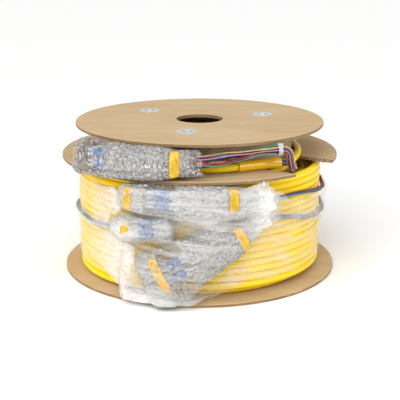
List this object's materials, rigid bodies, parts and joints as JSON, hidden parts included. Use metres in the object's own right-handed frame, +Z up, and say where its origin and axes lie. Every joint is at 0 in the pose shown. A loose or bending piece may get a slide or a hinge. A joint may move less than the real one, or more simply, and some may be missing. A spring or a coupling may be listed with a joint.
{
  "type": "reel of pre-terminated optical trunk cable",
  "caption": "Three-flange fibreboard reel of yellow optical trunk cable with bubble-wrapped connector ends held under clear stretch film.",
  "frame": {"origin": "centre of the arbor hole at the bottom flange's underside, on the surface the reel stands on", "axes": "+Z up along the reel's axis; -Y towards the wrapped bundles in front; +X to their right"},
  "size_m": [0.45, 0.4859, 0.2449],
  "materials": {
    "kraft_fibreboard": "matt kraft fibreboard",
    "grey_paperboard": "spiral-wound paperboard tube",
    "zinc_steel": "blue zinc-plated pressed steel",
    "yellow_jacket": "satin yellow cable jacket",
    "yellow_sleeve": "glossy shrink sleeve",
    "potting": "cast resin",
    "tail_colours": "satin, twelve tube colours",
    "blue_plug": "moulded plastic",
    "white_boot": "satin elastomer",
    "ceramic": "polished ceramic",
    "clear_cap": "translucent moulded plastic",
    "bubble_film": "clear polyethylene bubble wrap",
    "amber_tape": "glossy adhesive tape",
    "stretch_film": "clear polyethylene stretch film",
    "elastic": "natural rubber"
  },
  "bodies": {
    "root": {"bottom_flange": "kraft_fibreboard", "middle_flange": "kraft_fibreboard", "top_flange": "kraft_fibreboard", "main_barrel": "grey_paperboard", "upper_barrel": "grey_paperboard", "tie_rods": "zinc_steel", "bottom_washers": "zinc_steel", "top_washers": "zinc_steel", "tie_nuts": "zinc_steel", "cable_winding": "yellow_jacket", "inner_cable_lead": "yellow_jacket", "outer_cable_lead": "yellow_jacket", "stretch_film": "stretch_film", "elastic_band": "elastic", "inner_breakout_sleeve": "yellow_sleeve", "inner_breakout_core": "potting", "inner_breakout_organizer": "potting", "outer_breakout_sleeve": "yellow_sleeve", "outer_breakout_core": "potting", "outer_breakout_organizer": "potting", "inner_tails": "tail_colours", "inner_bubble_wrap": "bubble_film", "inner_tape_bands": "amber_tape", "inner_connector_housings": "blue_plug", "inner_duplex_clips": "blue_plug", "inner_connector_boots": "white_boot", "inner_ferrules": "ceramic", "inner_dust_caps": "clear_cap", "upper_tails": "tail_colours", "upper_bubble_wrap": "bubble_film", "upper_tape_bands": "amber_tape", "upper_connector_housings": "blue_plug", "upper_duplex_clips": "blue_plug", "upper_connector_boots": "white_boot", "upper_ferrules": "ceramic", "upper_dust_caps": "clear_cap", "middle_tails": "tail_colours", "middle_bubble_wrap": "bubble_film", "middle_tape_bands": "amber_tape", "middle_connector_housings": "blue_plug", "middle_duplex_clips": "blue_plug", "middle_connector_boots": "white_boot", "middle_ferrules": "ceramic", "middle_dust_caps": "clear_cap", "lower_tails": "tail_colours", "lower_bubble_wrap": "bubble_film", "lower_tape_bands": "amber_tape", "lower_connector_housings": "blue_plug", "lower_duplex_clips": "blue_plug", "lower_connector_boots": "white_boot", "lower_ferrules": "ceramic", "lower_dust_caps": "clear_cap"}
  },
  "joints": []
}
